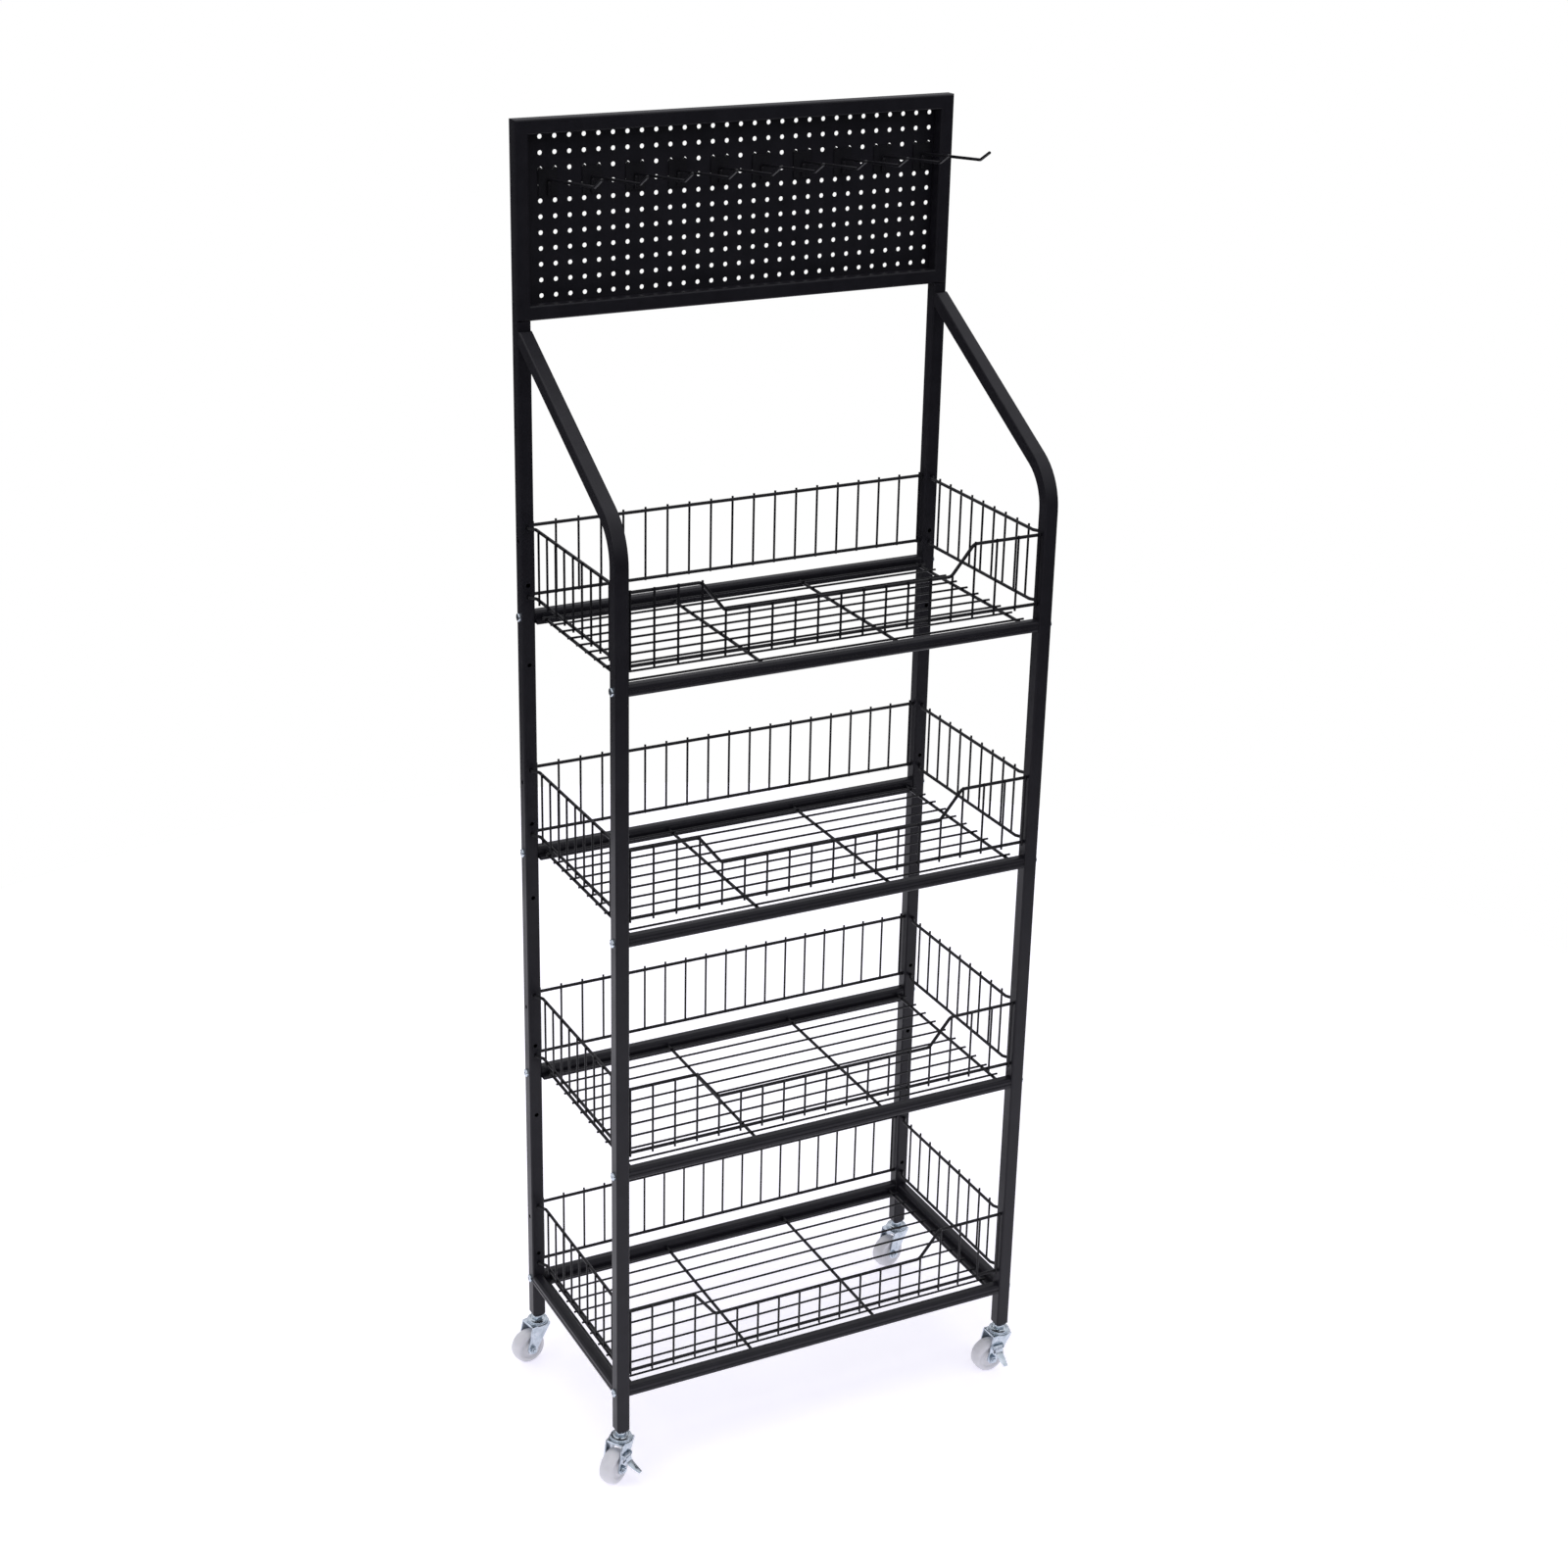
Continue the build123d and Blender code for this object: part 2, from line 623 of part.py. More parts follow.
def brake_lever():
    """Foot lever hinged on the outer leg: a sloping flap and an inner tongue."""
    knuckle = rod((0, -brake_width / 2, 0), (0, brake_width / 2, 0), 2 * brake_knuckle)
    flap_sketch = Polygon((0, -brake_width / 2), (brake_flap_length, -brake_tip_width / 2),
                          (brake_flap_length, brake_tip_width / 2), (0, brake_width / 2), align=None)
    flap_corners = flap_sketch.vertices().sort_by(Axis.X)[-2:]
    flap = extrude(fillet(flap_corners, brake_tip_width / 4), brake_plate / 2, both=True)
    flap = Rot(0, brake_flap_slope, 0) * flap
    tongue = Box(brake_plate, brake_tongue_width, brake_tongue_length,
                 align=(Align.CENTER, Align.CENTER, Align.MAX))
    tongue = Rot(0, brake_tongue_lean, 0) * tongue
    hole = rod((0, -brake_width, 0), (0, brake_width, 0), brake_pin + 2 * brake_pin_gap)
    lever = joined([knuckle, flap, tongue]) - hole
    return Pos(brake_x, brake_y, brake_height) * lever


def caster_place(side, rear, swivel):
    """Where one caster stands, turned to its swivel angle."""
    return Pos(side * post_x, rear_y if rear else front_y, 0) * Rot(0, 0, -swivel)


# ---------------------------------------------------------------- assembly
for name, side in (("left", -1), ("right", 1)):
    parts[name + "_front_post"] = front_post(side)
    parts[name + "_rear_post"] = rear_post(side)
    rail_x = side * (half_width - rail_thick / 2)
    parts[name + "_bottom_rail"] = Pos(rail_x, mid_y, first_tier) * Rot(0, 0, 90 * side) * side_rail()

parts["header_frame"] = header_frame()
parts["pegboard_sheet"] = pegboard_sheet()

cross_rail = stepped_rail(2 * inner_x, True)
floor_mat = shelf_floor()
back_panel = basket_panel(rear_y, 1, False)
front_panel = basket_panel(front_y, -1, True)
side_pair = [side_panel(-1), side_panel(1)]
bolts = []
for n, tier in enumerate(tiers, start=1):
    lift = Pos(0, 0, tier)
    parts["front_rail_%d" % n] = Pos(0, front_y, tier) * cross_rail
    parts["rear_rail_%d" % n] = Pos(0, rear_y, tier) * Rot(0, 0, 180) * cross_rail
    parts["shelf_floor_%d" % n] = lift * floor_mat
    parts["back_panel_%d" % n] = lift * back_panel
    parts["front_panel_%d" % n] = lift * front_panel
    parts["side_panels_%d" % n] = group([lift * panel for panel in side_pair])
    for y in (front_y, rear_y):
        bolts.append(Pos(half_width, y, tier) * rail_bolt())
        bolts.append(Pos(-half_width, y, tier) * Rot(0, 0, 180) * rail_bolt())
parts["rail_bolts"] = group(bolts)

for n in range(hook_count):
    parts["hook_%d" % (n + 1)] = display_hook(hook_column_step * n)

sockets = []
stems = []
balls = []
for name, (side, rear, swivel, braked) in casters.items():
    post = Pos(side * post_x, rear_y if rear else front_y, 0)
    place = caster_place(side, rear, swivel)
    sockets.append(post * caster_socket())
    stems.append(post * caster_stem())
    stems.append(post * lock_nut())
    balls.extend(post * ball for ball in swivel_balls())
    parts[name + "_fork"] = place * caster_fork(braked)
    parts[name + "_wheel"] = place * caster_wheel()
    parts[name + "_axle"] = group([place * solid for solid in axle_set(braked)])
    if braked:
        parts[name + "_brake_lever"] = place * brake_lever()
parts["caster_sockets"] = group(sockets)
parts["caster_stems"] = group(stems)
parts["swivel_balls"] = group(balls)

# ---------------------------------------------------------------- origin and export
corners = [shape.bounding_box(optimal=True) for shape in parts.values()]
middle_x = (min(box.min.X for box in corners) + max(box.max.X for box in corners)) / 2
middle_y = (min(box.min.Y for box in corners) + max(box.max.Y for box in corners)) / 2
to_origin = Pos(-middle_x, -middle_y, 0)

os.makedirs("parts", exist_ok=True)
for name, shape in parts.items():
    export_step(to_origin * shape, "parts/%s.step" % name)
print("nodes", len(parts), "moved by", round(-middle_x, 3), round(-middle_y, 3))
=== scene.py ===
# %% [markdown]
# # A wheeled pegboard display stand
# The rack is welded and bolted from black powder-coated tube and wire, and it rolls on four
# small zinc casters with milky nylon wheels. Its tubes, wires, bolts and hooks arrive as a
# finished frame of closed parts. This lesson dresses that frame: it lights it, gives each part
# its paint or plating, and remodels the small pressed and moulded pieces of the casters.

# %% Load the frame
import json
import math
import bmesh
import bpy
from mathutils import Matrix, Vector

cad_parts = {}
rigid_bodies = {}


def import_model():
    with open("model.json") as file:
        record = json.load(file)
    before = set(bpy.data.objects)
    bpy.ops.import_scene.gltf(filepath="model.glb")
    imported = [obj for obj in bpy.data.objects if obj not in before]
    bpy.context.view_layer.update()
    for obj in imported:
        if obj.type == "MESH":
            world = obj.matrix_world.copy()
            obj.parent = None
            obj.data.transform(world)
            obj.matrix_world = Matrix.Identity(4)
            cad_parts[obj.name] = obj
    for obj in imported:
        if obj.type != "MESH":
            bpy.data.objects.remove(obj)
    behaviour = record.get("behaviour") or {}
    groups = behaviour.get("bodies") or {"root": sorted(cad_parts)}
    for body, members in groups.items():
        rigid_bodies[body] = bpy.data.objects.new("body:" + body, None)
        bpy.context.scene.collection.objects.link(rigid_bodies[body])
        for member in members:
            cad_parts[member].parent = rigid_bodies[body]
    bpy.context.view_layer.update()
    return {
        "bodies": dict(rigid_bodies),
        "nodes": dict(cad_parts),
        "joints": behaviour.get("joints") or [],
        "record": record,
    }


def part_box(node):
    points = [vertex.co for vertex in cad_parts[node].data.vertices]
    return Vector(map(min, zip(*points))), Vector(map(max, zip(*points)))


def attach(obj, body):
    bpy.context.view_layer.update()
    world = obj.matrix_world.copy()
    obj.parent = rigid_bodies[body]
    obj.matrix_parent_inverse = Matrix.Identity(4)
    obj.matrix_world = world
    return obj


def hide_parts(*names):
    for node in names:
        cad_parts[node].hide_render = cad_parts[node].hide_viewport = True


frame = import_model()

# %% [markdown]
# ## Where things are
# The camera and the casters take their places from the frame, so they follow when the rack is
# made in another size. The front posts give its front and its middle here, and further on the
# joints of each caster give the place of its stem and the way its wheel points.

# %% Measure the posts
left_post_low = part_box("left_front_post")[0]
right_post_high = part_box("right_front_post")[1]
middle_x = (left_post_low[0] + right_post_high[0]) / 2
rack_front = left_post_low[1]
print("rack front at y", round(rack_front, 4), "and middle at x", round(middle_x, 4))

# %% [markdown]
# ## Camera
# A three-quarter view from above the left front corner, as a shop-fitting catalogue shows such
# a rack. The camera stands about three metres away and looks down on the baskets, so the wire
# floors read as grids and the peg holes stay round.

# %% Place the camera
CAMERA_OFFSET = Vector((-1.4970, -2.6988, 2.2826))
HEADING = math.radians(25.541)
TILT_DOWN = math.radians(21.391)
ROLL = math.radians(0.519)
LENS = 59.24
SHIFT = (0.0574, -0.0400)


def aim(heading, tilt_down, roll):
    """Axes of a camera that looks along +Y turned by its heading, then down, then rolled."""
    forward = Vector((math.sin(heading) * math.cos(tilt_down),
                      math.cos(heading) * math.cos(tilt_down), -math.sin(tilt_down)))
    right = Vector((math.cos(heading), -math.sin(heading), 0))
    up = right.cross(forward)
    rolled_right = math.cos(roll) * right + math.sin(roll) * up
    rolled_up = math.cos(roll) * up - math.sin(roll) * right
    return Matrix((rolled_right, rolled_up, -forward)).transposed()


camera_data = bpy.data.cameras.new("catalogue_camera")
camera_data.sensor_width = 36
camera_data.lens = LENS
camera_data.shift_x, camera_data.shift_y = SHIFT
camera = bpy.data.objects.new("catalogue_camera", camera_data)
bpy.context.scene.collection.objects.link(camera)
camera_place = Vector((middle_x, rack_front, 0)) + CAMERA_OFFSET
camera.matrix_world = Matrix.Translation(camera_place) @ aim(HEADING, TILT_DOWN, ROLL).to_4x4()
bpy.context.scene.camera = camera
print("camera at", [round(v, 3) for v in camera_place])

# %% [markdown]
# ## Studio
# Black paint has almost no colour of its own: what it shows is the room. A round pale floor,
# glowing a little as lit paper does, gives the lower faces something bright to mirror. The air
# is bright overhead, like one huge soft box, and falls off to dark below the horizon. The high
# parts mirror what lies past the floor's edge, so the header stays nearly black.

# %% Floor
FLOOR_RADIUS = 2.1
FLOOR_CENTRE = (0, 0.15, 0)
PAPER_COLOUR = (0.93, 0.93, 0.94)
PAPER_ROUGHNESS = 0.9
GLOW_COLOUR = (0.90, 0.86, 1.0)
GLOW_STRENGTH = 0.40


def glowing_paper():
    material = bpy.data.materials.new("pale_floor")
    material.use_nodes = True
    shader = material.node_tree.nodes["Principled BSDF"]
    shader.inputs["Base Color"].default_value = (*PAPER_COLOUR, 1)
    shader.inputs["Roughness"].default_value = PAPER_ROUGHNESS
    shader.inputs["Emission Color"].default_value = (*GLOW_COLOUR, 1)
    shader.inputs["Emission Strength"].default_value = GLOW_STRENGTH
    return material


def add_floor():
    mesh = bpy.data.meshes.new("studio_floor")
    shape = bmesh.new()
    bmesh.ops.create_circle(shape, cap_ends=True, segments=128, radius=FLOOR_RADIUS)
    bmesh.ops.translate(shape, verts=shape.verts, vec=FLOOR_CENTRE)
    shape.to_mesh(mesh)
    shape.free()
    mesh.materials.append(glowing_paper())
    floor = bpy.data.objects.new("studio_floor", mesh)
    bpy.context.scene.collection.objects.link(floor)
    return floor


print("made", add_floor().name)

# %% Air
AIR_COLOUR = (0.96, 0.96, 1.0)
AIR_LOW = 0.06
AIR_HIGH = 1.0
# how far up a direction points, as the Z of its unit vector, where the air is dimmest and brightest
DIM_BELOW = -0.15
BRIGHT_ABOVE = 0.75


def add_air():
    """White where the camera looks past the rack, but dark low down for what the paint mirrors."""
    world = bpy.data.worlds.new("studio_air")
    world.use_nodes = True
    nodes, links = world.node_tree.nodes, world.node_tree.links
    nodes.clear()
    output = nodes.new("ShaderNodeOutputWorld")
    seen = nodes.new("ShaderNodeBackground")
    seen.inputs["Color"].default_value = (1, 1, 1, 1)
    lit = nodes.new("ShaderNodeBackground")
    lit.inputs["Color"].default_value = (*AIR_COLOUR, 1)
    mix = nodes.new("ShaderNodeMixShader")
    path = nodes.new("ShaderNodeLightPath")
    where = nodes.new("ShaderNodeTexCoord")
    split = nodes.new("ShaderNodeSeparateXYZ")
    ramp = nodes.new("ShaderNodeMapRange")
    ramp.interpolation_type = "SMOOTHSTEP"
    ramp.inputs["From Min"].default_value = DIM_BELOW
    ramp.inputs["From Max"].default_value = BRIGHT_ABOVE
    ramp.inputs["To Min"].default_value = AIR_LOW
    ramp.inputs["To Max"].default_value = AIR_HIGH
    links.new(where.outputs["Generated"], split.inputs["Vector"])
    links.new(split.outputs["Z"], ramp.inputs["Value"])
    links.new(ramp.outputs["Result"], lit.inputs["Strength"])
    links.new(path.outputs["Is Camera Ray"], mix.inputs["Fac"])
    links.new(lit.outputs["Background"], mix.inputs[1])
    links.new(seen.outputs["Background"], mix.inputs[2])
    links.new(mix.outputs["Shader"], output.inputs["Surface"])
    bpy.context.scene.world = world
    return world


print("made", add_air().name)

# %% Soft boxes
def add_soft_box(name, place, target, size, power):
    """A rectangle of light, in metres and watts, that faces its target."""
    light = bpy.data.lights.new(name, "AREA")
    light.shape = "RECTANGLE"
    light.size, light.size_y = size
    light.energy = power
    lamp = bpy.data.objects.new(name, light)
    lamp.location = place
    lamp.rotation_euler = (Vector(target) - Vector(place)).to_track_quat("-Z", "Y").to_euler()
    bpy.context.scene.collection.objects.link(lamp)
    return lamp


overhead_box = add_soft_box("overhead_box", place=(-0.4, -0.2, 4.2), target=(0, 0.1, 0),
                            size=(3.0, 3.0), power=15)
left_box = add_soft_box("left_box", place=(-3.0, -0.6, 2.4), target=(0, 0.1, 0.4),
                        size=(1.0, 1.6), power=9)
bpy.context.scene.view_settings.view_transform = "Standard"
print("lit by", overhead_box.name, "and", left_box.name)

# %% [markdown]
# ## Shared effects
# Two effects are used by several finishes, so each is one node group with its own inputs.
# Powder coat is melted dust: under a lens it is a skin of tiny rounded dimples, with a slow
# drift in how glossy it is. The moulded nylon of the wheels has such a skin too, only coarser.
# Zinc plating is the opposite, bright and mottled in soft clouds.

# %% Node group tools
GROUP_OUTPUTS = ("Height", "Roughness", "Tone")


def new_group(name, inputs):
    """An empty shader group with named number inputs, each (name, default), and three outputs."""
    group = bpy.data.node_groups.new(name, "ShaderNodeTree")
    for label, default in inputs:
        socket = group.interface.new_socket(label, in_out="INPUT", socket_type="NodeSocketFloat")
        socket.default_value = default
    for label in GROUP_OUTPUTS:
        group.interface.new_socket(label, in_out="OUTPUT", socket_type="NodeSocketFloat")
    return group, group.nodes.new("NodeGroupInput"), group.nodes.new("NodeGroupOutput")


def feed(tree, value, socket):
    """Type a number into a socket, or link another node's output to it."""
    if isinstance(value, (int, float)):
        socket.default_value = value
    else:
        tree.links.new(value, socket)


def noise(tree, where, scale, detail):
    node = tree.nodes.new("ShaderNodeTexNoise")
    node.inputs["Detail"].default_value = detail
    feed(tree, where, node.inputs["Vector"])
    feed(tree, scale, node.inputs["Scale"])
    return node.outputs["Fac"]


def remap(tree, value, low_in, high_in, low_out, high_out):
    node = tree.nodes.new("ShaderNodeMapRange")
    for label, number in (("From Min", low_in), ("From Max", high_in),
                          ("To Min", low_out), ("To Max", high_out)):
        node.inputs[label].default_value = number
    feed(tree, value, node.inputs["Value"])
    return node.outputs["Result"]


def combine(tree, how, first, second):
    node = tree.nodes.new("ShaderNodeMath")
    node.operation = how
    feed(tree, first, node.inputs[0])
    feed(tree, second, node.inputs[1])
    return node.outputs["Value"]


print("group tools ready")

# %% Powder grain group
def make_powder_grain():
    """Dimples of melted powder: a height, a slow gloss drift and a faint tone drift."""
    group, source, result = new_group(
        "powder_grain", (("Dimple Scale", 900.0), ("Gloss", 0.4), ("Gloss Drift", 0.08)))
    where = group.nodes.new("ShaderNodeTexCoord").outputs["Object"]
    dimples = noise(group, where, source.outputs["Dimple Scale"], 2.0)
    drift = remap(group, noise(group, where, 14.0, 3.0), 0.3, 0.7, -1.0, 1.0)
    swing = combine(group, "MULTIPLY", drift, source.outputs["Gloss Drift"])
    gloss = combine(group, "ADD", source.outputs["Gloss"], swing)
    tone = remap(group, noise(group, where, 45.0, 4.0), 0.25, 0.75, 0.0, 1.0)
    feed(group, dimples, result.inputs["Height"])
    feed(group, gloss, result.inputs["Roughness"])
    feed(group, tone, result.inputs["Tone"])
    return group


powder_grain = make_powder_grain()
print("made", powder_grain.name)

# %% Zinc cloud group
def make_zinc_clouds():
    """Mottled brightness and gloss of bright zinc plate: a fine grain, a gloss and a tone."""
    group, source, result = new_group("zinc_clouds", (("Cloud Scale", 120.0), ("Gloss", 0.22)))
    where = group.nodes.new("ShaderNodeTexCoord").outputs["Object"]
    clouds = noise(group, where, source.outputs["Cloud Scale"], 5.0)
    tone = remap(group, clouds, 0.32, 0.68, 0.0, 1.0)
    swing = combine(group, "MULTIPLY", tone, 0.16)
    gloss = combine(group, "ADD", source.outputs["Gloss"], swing)
    feed(group, noise(group, where, 700.0, 2.0), result.inputs["Height"])
    feed(group, gloss, result.inputs["Roughness"])
    feed(group, tone, result.inputs["Tone"])
    return group


zinc_clouds = make_zinc_clouds()
print("made", zinc_clouds.name)

# %% [markdown]
# ## Finishes
# Every finish is a Principled shader fed by one of the groups. The group only hands over values
# that change across the surface; anything that is the same everywhere is typed straight into
# the shader, so it survives when the model is exported.

# %% Finish builder
def finish_from(name, group, settings, dark, light, bump, bump_distance, **fixed):
    """A material whose colour runs from dark to light with the group's tone.

    The names of the fixed settings are the shader's own, with _ for each space.
    """
    material = bpy.data.materials.new(name)
    material.use_nodes = True
    tree = material.node_tree
    shader = tree.nodes["Principled BSDF"]
    effect = tree.nodes.new("ShaderNodeGroup")
    effect.node_tree = group
    for label, number in settings.items():
        effect.inputs[label].default_value = number
    colour = tree.nodes.new("ShaderNodeMix")
    colour.data_type = "RGBA"
    colour.inputs["A"].default_value = (*dark, 1)
    colour.inputs["B"].default_value = (*light, 1)
    tree.links.new(effect.outputs["Tone"], colour.inputs["Factor"])
    tree.links.new(colour.outputs["Result"], shader.inputs["Base Color"])
    tree.links.new(effect.outputs["Roughness"], shader.inputs["Roughness"])
    dimple = tree.nodes.new("ShaderNodeBump")
    dimple.inputs["Strength"].default_value = bump
    dimple.inputs["Distance"].default_value = bump_distance
    tree.links.new(effect.outputs["Height"], dimple.inputs["Height"])
    tree.links.new(dimple.outputs["Normal"], shader.inputs["Normal"])
    for label, value in fixed.items():
        shader.inputs[label.replace("_", " ")].default_value = value
    return material


print("finish builder ready")

# %% The rack's finishes
FINISHES = {
    "frame_black": finish_from(
        "black_powder_coat_tube", powder_grain,
        {"Dimple Scale": 1100.0, "Gloss": 0.37, "Gloss Drift": 0.05},
        dark=(0.0085, 0.0080, 0.0112), light=(0.0130, 0.0124, 0.0168), bump=0.22, bump_distance=0.00012,
        Specular_IOR_Level=0.23),
    "wire_black": finish_from(
        "black_powder_coat_wire", powder_grain,
        {"Dimple Scale": 1500.0, "Gloss": 0.34, "Gloss Drift": 0.06},
        dark=(0.0050, 0.0048, 0.0064), light=(0.0085, 0.0082, 0.0105), bump=0.16, bump_distance=0.00008,
        Specular_IOR_Level=0.22),
    "hook_black": finish_from(
        "black_powder_coat_hook", powder_grain,
        {"Dimple Scale": 1400.0, "Gloss": 0.33, "Gloss Drift": 0.06},
        dark=(0.0060, 0.0058, 0.0076), light=(0.0100, 0.0097, 0.0124), bump=0.16, bump_distance=0.00008,
        Specular_IOR_Level=0.30),
    "zinc": finish_from(
        "bright_zinc_plate", zinc_clouds, {"Cloud Scale": 130.0, "Gloss": 0.15},
        dark=(0.42, 0.48, 0.54), light=(0.64, 0.70, 0.76), bump=0.05, bump_distance=0.00005,
        Metallic=1.0),
    "nylon": finish_from(
        "milky_nylon", powder_grain,
        {"Dimple Scale": 260.0, "Gloss": 0.34, "Gloss Drift": 0.05},
        dark=(0.62, 0.62, 0.655), light=(0.69, 0.69, 0.72), bump=0.06, bump_distance=0.00006,
        Subsurface_Weight=0.35, Subsurface_Radius=(0.006, 0.006, 0.007), Subsurface_Scale=0.6),
    "bearing_steel": finish_from(
        "polished_balls", zinc_clouds, {"Cloud Scale": 300.0, "Gloss": 0.08},
        dark=(0.60, 0.61, 0.63), light=(0.70, 0.71, 0.73), bump=0.02, bump_distance=0.00002,
        Metallic=1.0),
}
print("finishes:", ", ".join(FINISHES))

# %% Paint the frame
slot_of = {row["node"]: row["material_slot"] for row in frame["record"]["subparts"]}
for name, part in frame["nodes"].items():
    part.data.materials.clear()
    part.data.materials.append(FINISHES[slot_of[name]])
print("painted", len(slot_of), "parts")

# %% [markdown]
# ## Casters
# The casters are cheap pressed-steel furniture casters. Their parts have no sharp edges: the
# plate is rolled over a die, the races are spun and the wheel is moulded. Wheels, cups and
# pedals are made in the caster's own directions, with the stem on Z and the axle along X, and
# the joints then place them. Forks and axles are made where the frame has them.

# %% Where each caster stands
joints = {joint["name"]: joint for joint in frame["joints"]}
CORNERS = ("front_left", "front_right", "rear_left", "rear_right")


def caster_matrix(corner):
    """From the caster's own space, on the floor under its stem, to the rack."""
    stem = Vector(joints[corner + "_swivel"]["pos_m"])
    across = Vector(joints[corner + "_roll"]["axis"]).normalized()
    ahead = Vector((0, 0, 1)).cross(across)
    turn = Matrix((across, ahead, Vector((0, 0, 1)))).transposed().to_4x4()
    return Matrix.Translation((stem.x, stem.y, 0)) @ turn


axle_place = Vector(joints["rear_left_roll"]["pos_m"])
stem_place = Vector(joints["rear_left_swivel"]["pos_m"])
WHEEL_RADIUS = axle_place.z
TRAIL = (axle_place.xy - stem_place.xy).length
RACE_HEIGHT = stem_place.z
print("wheel radius", round(WHEEL_RADIUS, 4), "trail", round(TRAIL, 4))

# %% Piece tools
SHARP = math.radians(38)
LONGEST_CUT = 0.45


def finish_piece(name, shape, body, slot_name, *nodes):
    """Turn a bmesh into a shaded piece that rides on a body in place of frame parts."""
    bmesh.ops.remove_doubles(shape, verts=shape.verts, dist=1e-6)
    bmesh.ops.recalc_face_normals(shape, faces=shape.faces)
    for face in shape.faces:
        face.smooth = True
    mesh = bpy.data.meshes.new(name)
    shape.to_mesh(mesh)
    shape.free()
    mesh.set_sharp_from_angle(angle=SHARP)
    piece = bpy.data.objects.new(name, mesh)
    piece.data.materials.append(FINISHES[slot_name])
    bpy.context.scene.collection.objects.link(piece)
    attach(piece, body)
    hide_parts(*nodes)
    return piece


def add_spun(shape, profile, axis, centre, steps):
    """Add the solid that a closed profile sweeps round an axis."""
    ring = [shape.verts.new(point) for point in profile]
    edges = [shape.edges.new((ring[n - 1], ring[n])) for n in range(len(ring))]
    bmesh.ops.spin(shape, geom=ring + edges, cent=centre, axis=axis,
                   angle=2 * math.pi, steps=steps, use_merge=True)


def rounded(corners, radius, steps=3):
    """Points of a closed flat outline with each corner rounded off, less where a side is short."""
    points = []
    for n, corner in enumerate(corners):
        here = Vector(corner)
        before = Vector(corners[n - 1]) - here
        after = Vector(corners[(n + 1) % len(corners)]) - here
        cut = min(radius, before.length * LONGEST_CUT, after.length * LONGEST_CUT)
        start = here + before.normalized() * cut
        end = here + after.normalized() * cut
        for step in range(steps + 1):
            share = step / steps
            points.append((1 - share) ** 2 * start + 2 * share * (1 - share) * here + share ** 2 * end)
    return points


def sharp_edges(shape):
    return [edge for edge in shape.edges if edge.is_manifold and edge.calc_face_angle() > SHARP]


def roll_edges(shape, edges, roll):
    """Round edges over by a small bevel, as a press or a tumbler leaves them."""
    bmesh.ops.bevel(shape, geom=edges, offset=roll, segments=2, profile=0.5,
                    affect="EDGES", material=-1, clamp_overlap=True)


print("piece tools ready")

# %% [markdown]
# ### Wheels
# A moulded nylon wheel: a crowned tread, round shoulders, a shallow dish in each side and a hub
# that keeps the fork legs off. A profile spun once round the axle makes it in one go.

# %% Wheels
WHEEL_HALF = 0.0105
HUB_HALF = 0.0117
HUB_RADIUS = 0.0090
BORE_RADIUS = 0.0031
RIM_RADIUS = WHEEL_RADIUS - 0.0038
SHOULDER = (0.0084, WHEEL_RADIUS - 0.0016)
CROWN = (0.0045, WHEEL_RADIUS - 0.0007)
DISH_DEPTH = 0.0016
DISH_INNER = HUB_RADIUS + 0.0006
DISH_OUTER = 0.0150
DISH_EDGE = 0.0172
WHEEL_ROUNDING = 0.0011


def wheel_profile():
    """Closed outline of the wheel's section as (along the axle, out from the axle)."""
    half = [(HUB_HALF, BORE_RADIUS), (HUB_HALF, HUB_RADIUS),
            (WHEEL_HALF - DISH_DEPTH, DISH_INNER), (WHEEL_HALF - DISH_DEPTH, DISH_OUTER),
            (WHEEL_HALF, DISH_EDGE), (WHEEL_HALF, RIM_RADIUS), SHOULDER, CROWN]
    return half + [(0.0, WHEEL_RADIUS)] + [(-x, r) for x, r in reversed(half)]


def add_wheel(corner):
    shape = bmesh.new()
    outline = [(x, -TRAIL, WHEEL_RADIUS + r) for x, r in rounded(wheel_profile(), WHEEL_ROUNDING)]
    add_spun(shape, outline, axis=(1, 0, 0), centre=(0, -TRAIL, WHEEL_RADIUS), steps=72)
    shape.transform(caster_matrix(corner))
    return finish_piece(corner + "_wheel_moulding", shape, corner + "_wheel", "nylon", corner + "_wheel")


for corner in CORNERS:
    print("made", add_wheel(corner).name)

# %% [markdown]
# ### Stems and upper races
# Each stem carries the fixed half of the swivel bearing: a spun cup with a rolled lip, and a
# domed top that the lock nut clamps. The rings between cup and fork are what catch the light.

# %% Stems, cups and lock nuts
stems_low, stems_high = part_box("caster_stems")
STEM_TOP = stems_high[2]
STEM_RADIUS = 0.0040
STEM_ROUNDING = 0.0008
RIVET_LOW = stems_low[2]
RIVET_HIGH = RIVET_LOW + 0.0024
RIVET_RADIUS = 0.0065
CUP_LOW = RACE_HEIGHT + 0.0005
CUP_HIGH = CUP_LOW + 0.0050
CUP_RADIUS = 0.0155
CUP_BORE = 0.0041
CUP_ROUNDING = 0.0004
NUT_HEIGHT = 0.0050
NUT_ACROSS = 0.0130
NUT_ROLL = 0.0005
# the stem's outline stops a hair short of the axis, so that no two of its points meet there
HAIR = 0.0001


def stem_profile():
    """Closed outline (out from the axis, height) of the stem and of the rivet head under it."""
    return [(HAIR, RIVET_LOW), (RIVET_RADIUS, RIVET_LOW), (RIVET_RADIUS, RIVET_HIGH),
            (STEM_RADIUS, RIVET_HIGH), (STEM_RADIUS, STEM_TOP), (HAIR, STEM_TOP)]


